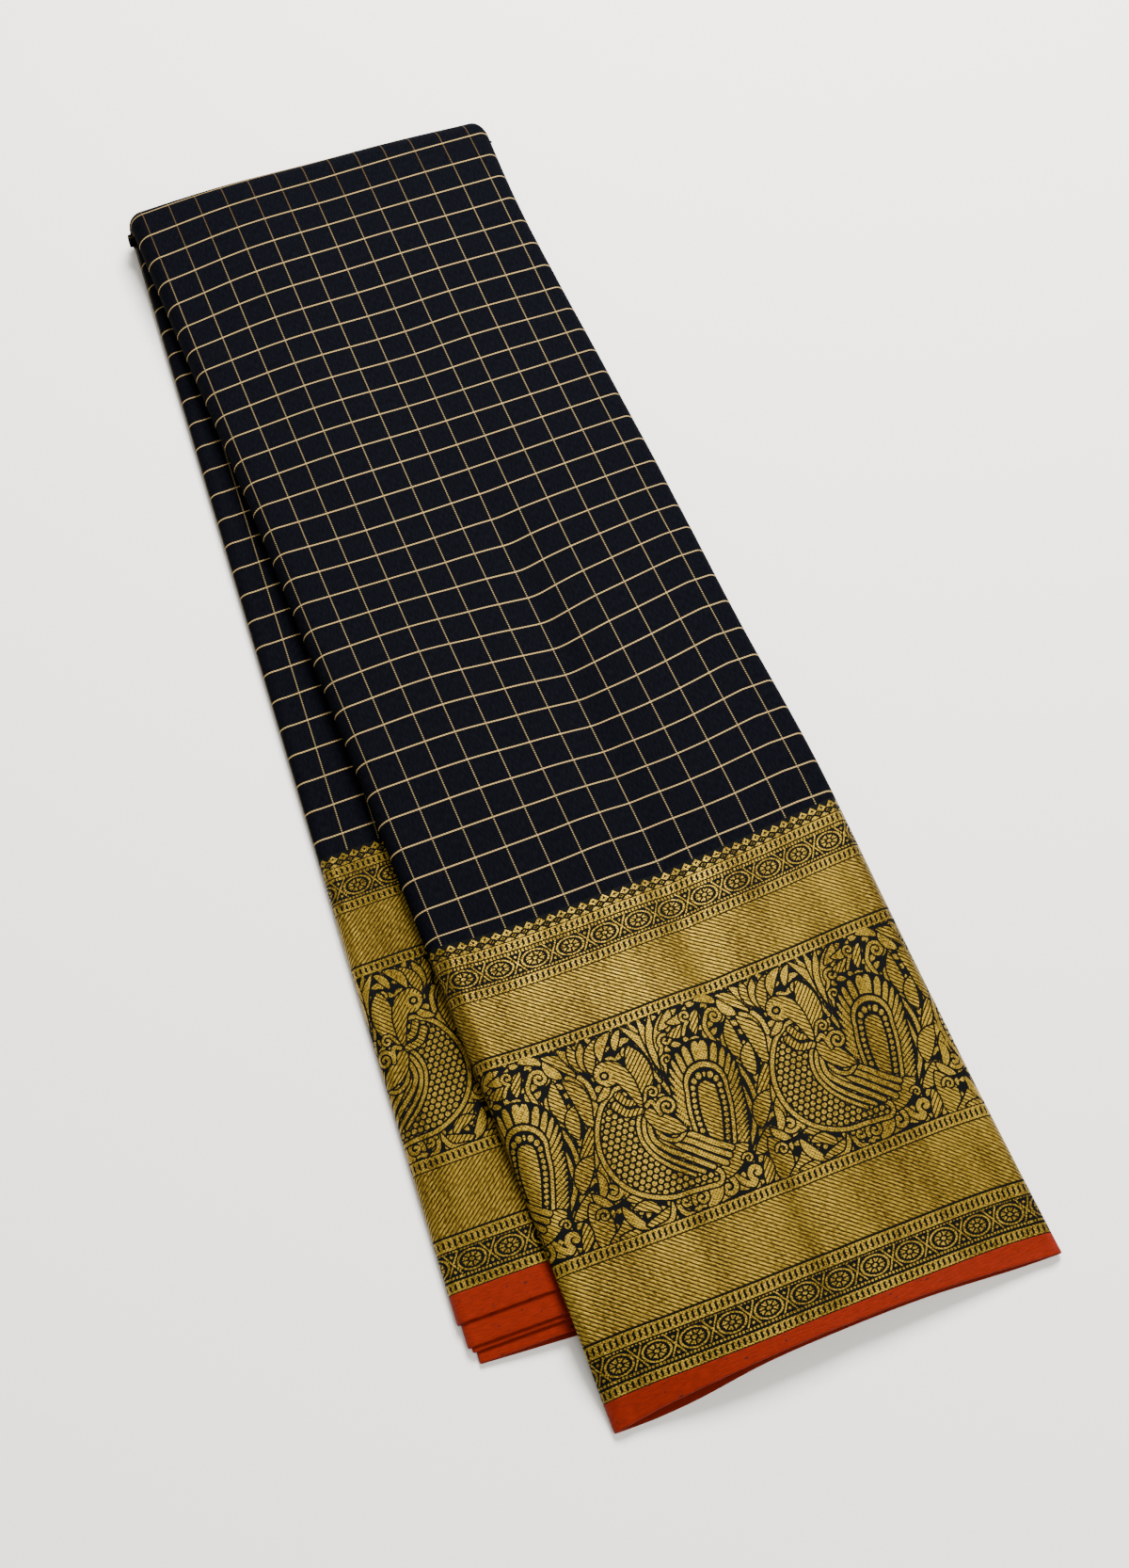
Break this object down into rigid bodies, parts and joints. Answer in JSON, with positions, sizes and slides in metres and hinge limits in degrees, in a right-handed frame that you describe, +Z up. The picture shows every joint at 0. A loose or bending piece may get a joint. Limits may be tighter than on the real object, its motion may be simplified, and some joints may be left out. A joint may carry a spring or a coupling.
{
  "type": "folded saree",
  "caption": "Silk saree with a gold check and woven gold borders, folded into a long band and once across, lying flat.",
  "frame": {"origin": "centre of the folded saree's footprint, on the surface that it rests on", "axes": "+Z up; +Y along the folded band towards its far fold; +X to the right, seen from the open ends"},
  "size_m": [0.234, 0.6309, 0.0276],
  "materials": {
    "field_silk": "lustrous silk",
    "border_zari": "metallic thread brocade",
    "selvedge_silk": "plain weave silk",
    "hidden_silk": "plain weave silk"
  },
  "bodies": {
    "root": {"upper_field": "field_silk", "upper_border": "border_zari", "upper_selvedge": "selvedge_silk", "upper_layers": "hidden_silk", "lower_field": "field_silk", "lower_border": "border_zari", "lower_selvedge_1": "selvedge_silk", "lower_selvedge_2": "selvedge_silk", "lower_selvedge_3": "selvedge_silk", "lower_selvedge_4": "selvedge_silk", "lower_layers": "hidden_silk", "far_fold": "field_silk", "fold_layers": "hidden_silk"}
  },
  "joints": []
}
